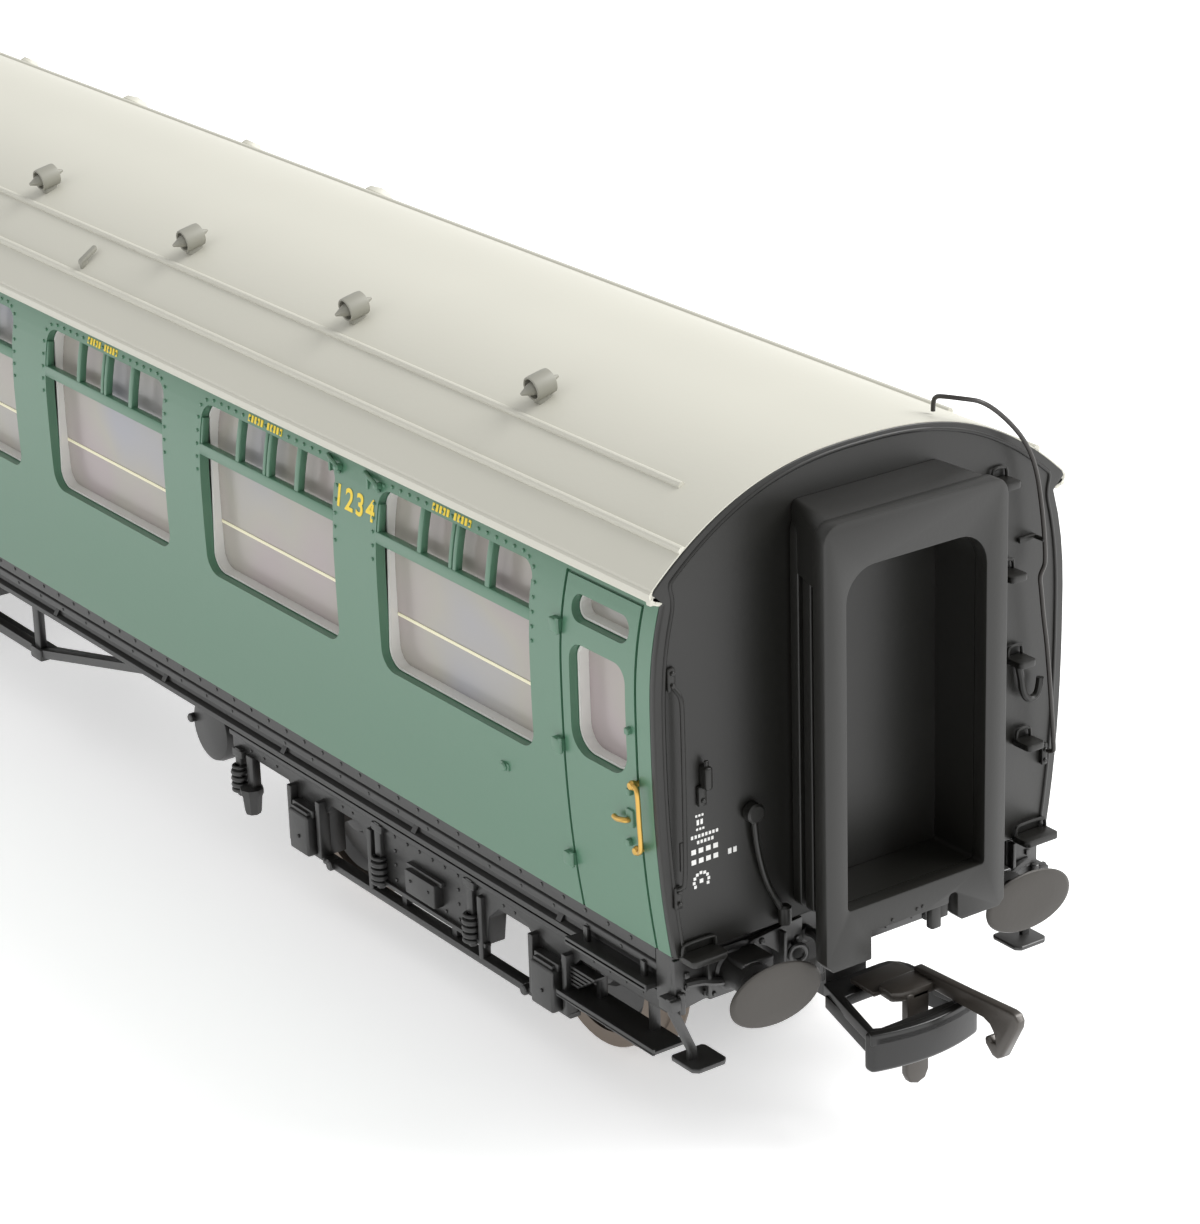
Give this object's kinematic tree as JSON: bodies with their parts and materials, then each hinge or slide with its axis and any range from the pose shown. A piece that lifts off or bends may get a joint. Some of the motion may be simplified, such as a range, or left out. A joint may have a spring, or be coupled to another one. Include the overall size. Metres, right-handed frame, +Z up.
{
  "type": "model passenger coach",
  "caption": "Small-scale bogie coach with panelled green sides, arched roof, end gangways, swivelling bogies, spinning wheels, sprung buffers and hook couplings.",
  "frame": {"origin": "on the surface that the wheel flanges stand on, under the middle of the coach", "axes": "+X along the coach towards the front end, +Y to its left, +Z up"},
  "size_m": [0.2832, 0.0362, 0.0525],
  "materials": {
    "coach_green": "green coach paint, satin",
    "roof_grey": "grey paint, eggshell",
    "end_black": "black paint, satin",
    "underframe_black": "black moulded plastic, satin",
    "clear_plastic": "clear moulded plastic, polished",
    "interior_plastic": "fawn moulded plastic",
    "seat_plastic": "dull red moulded plastic",
    "wire_black": "black painted wire",
    "blackened_steel": "chemically blackened, dull",
    "wheel_steel": "nickel plated treads, dull",
    "ballast_steel": "plain steel strip"
  },
  "bodies": {
    "coach": {"body_side_near": "coach_green", "glazing_near": "clear_plastic", "seats_near": "seat_plastic", "truss_near": "underframe_black", "solebar_near": "underframe_black", "battery_box_near": "underframe_black", "body_side_far": "coach_green", "glazing_far": "clear_plastic", "seats_far": "seat_plastic", "truss_far": "underframe_black", "solebar_far": "underframe_black", "battery_box_far": "underframe_black", "roof": "roof_grey", "ballast_strip": "ballast_steel", "interior_tray": "interior_plastic", "underframe": "underframe_black", "dynamo": "underframe_black", "vacuum_cylinder_a": "underframe_black", "vacuum_cylinder_b": "underframe_black", "end_sheet_front": "end_black", "gangway_bellows_front": "end_black", "gangway_faceplate_front": "end_black", "headstock_front": "underframe_black", "end_handrail_front": "wire_black", "bogie_pivot_front": "blackened_steel", "end_sheet_rear": "end_black", "gangway_bellows_rear": "end_black", "gangway_faceplate_rear": "end_black", "headstock_rear": "underframe_black", "end_handrail_rear": "wire_black", "bogie_pivot_rear": "blackened_steel"},
    "bogie_front": {"bogie_frame_front": "underframe_black"},
    "wheelset_front_outer": {"axle_front_outer": "blackened_steel", "wheel_front_outer_left": "wheel_steel", "wheel_front_outer_right": "wheel_steel"},
    "wheelset_front_inner": {"axle_front_inner": "blackened_steel", "wheel_front_inner_left": "wheel_steel", "wheel_front_inner_right": "wheel_steel"},
    "coupler_front": {"coupling_arm_front": "underframe_black", "coupling_bar_front": "underframe_black"},
    "hook_front": {"coupling_hook_front": "blackened_steel"},
    "buffer_left_front": {"buffer_left_front": "blackened_steel"},
    "buffer_right_front": {"buffer_right_front": "blackened_steel"},
    "bogie_rear": {"bogie_frame_rear": "underframe_black"},
    "wheelset_rear_outer": {"axle_rear_outer": "blackened_steel", "wheel_rear_outer_left": "wheel_steel", "wheel_rear_outer_right": "wheel_steel"},
    "wheelset_rear_inner": {"axle_rear_inner": "blackened_steel", "wheel_rear_inner_left": "wheel_steel", "wheel_rear_inner_right": "wheel_steel"},
    "coupler_rear": {"coupling_arm_rear": "underframe_black", "coupling_bar_rear": "underframe_black"},
    "hook_rear": {"coupling_hook_rear": "blackened_steel"},
    "buffer_left_rear": {"buffer_left_rear": "blackened_steel"},
    "buffer_right_rear": {"buffer_right_rear": "blackened_steel"}
  },
  "joints": [
    {"name": "bogie_swivel_front", "type": "hinge", "parent": "coach", "child": "bogie_front", "pos_m": [0.093, 0, 0.0133], "axis": [0, 0, 1], "range_deg": [-12, 12]},
    {"name": "wheel_spin_front_outer", "type": "hinge", "parent": "bogie_front", "child": "wheelset_front_outer", "pos_m": [0.11, 0, 0.0079], "axis": [0, 1, 0], "continuous": true},
    {"name": "wheel_spin_front_inner", "type": "hinge", "parent": "bogie_front", "child": "wheelset_front_inner", "pos_m": [0.076, 0, 0.0079], "axis": [0, 1, 0], "continuous": true},
    {"name": "coupler_swing_front", "type": "hinge", "parent": "coach", "child": "coupler_front", "pos_m": [0.121, 0, 0.0121], "axis": [0, 0, 1], "range_deg": [-15, 15], "stiffness_Nm_per_rad": 0.002},
    {"name": "hook_lift_front", "type": "hinge", "parent": "coupler_front", "child": "hook_front", "pos_m": [0.1282, 0, 0.0104], "axis": [0, -1, 0], "range_deg": [0, 15]},
    {"name": "buffer_left_travel_front", "type": "slide", "parent": "coach", "child": "buffer_left_front", "axis": [-1, 0, 0], "range_m": [0, 0.0012], "stiffness_N_per_m": 120, "springref_m": -0.0008},
    {"name": "buffer_right_travel_front", "type": "slide", "parent": "coach", "child": "buffer_right_front", "axis": [-1, 0, 0], "range_m": [0, 0.0012], "stiffness_N_per_m": 120, "springref_m": -0.0008},
    {"name": "bogie_swivel_rear", "type": "hinge", "parent": "coach", "child": "bogie_rear", "pos_m": [-0.093, 0, 0.0133], "axis": [0, 0, 1], "range_deg": [-12, 12]},
    {"name": "wheel_spin_rear_outer", "type": "hinge", "parent": "bogie_rear", "child": "wheelset_rear_outer", "pos_m": [-0.11, 0, 0.0079], "axis": [0, 1, 0], "continuous": true},
    {"name": "wheel_spin_rear_inner", "type": "hinge", "parent": "bogie_rear", "child": "wheelset_rear_inner", "pos_m": [-0.076, 0, 0.0079], "axis": [0, 1, 0], "continuous": true},
    {"name": "coupler_swing_rear", "type": "hinge", "parent": "coach", "child": "coupler_rear", "pos_m": [-0.121, 0, 0.0121], "axis": [0, 0, 1], "range_deg": [-15, 15], "stiffness_Nm_per_rad": 0.002},
    {"name": "hook_lift_rear", "type": "hinge", "parent": "coupler_rear", "child": "hook_rear", "pos_m": [-0.1282, 0, 0.0104], "axis": [0, 1, 0], "range_deg": [0, 15]},
    {"name": "buffer_left_travel_rear", "type": "slide", "parent": "coach", "child": "buffer_left_rear", "axis": [1, 0, 0], "range_m": [0, 0.0012], "stiffness_N_per_m": 120, "springref_m": -0.0008},
    {"name": "buffer_right_travel_rear", "type": "slide", "parent": "coach", "child": "buffer_right_rear", "axis": [1, 0, 0], "range_m": [0, 0.0012], "stiffness_N_per_m": 120, "springref_m": -0.0008}
  ]
}
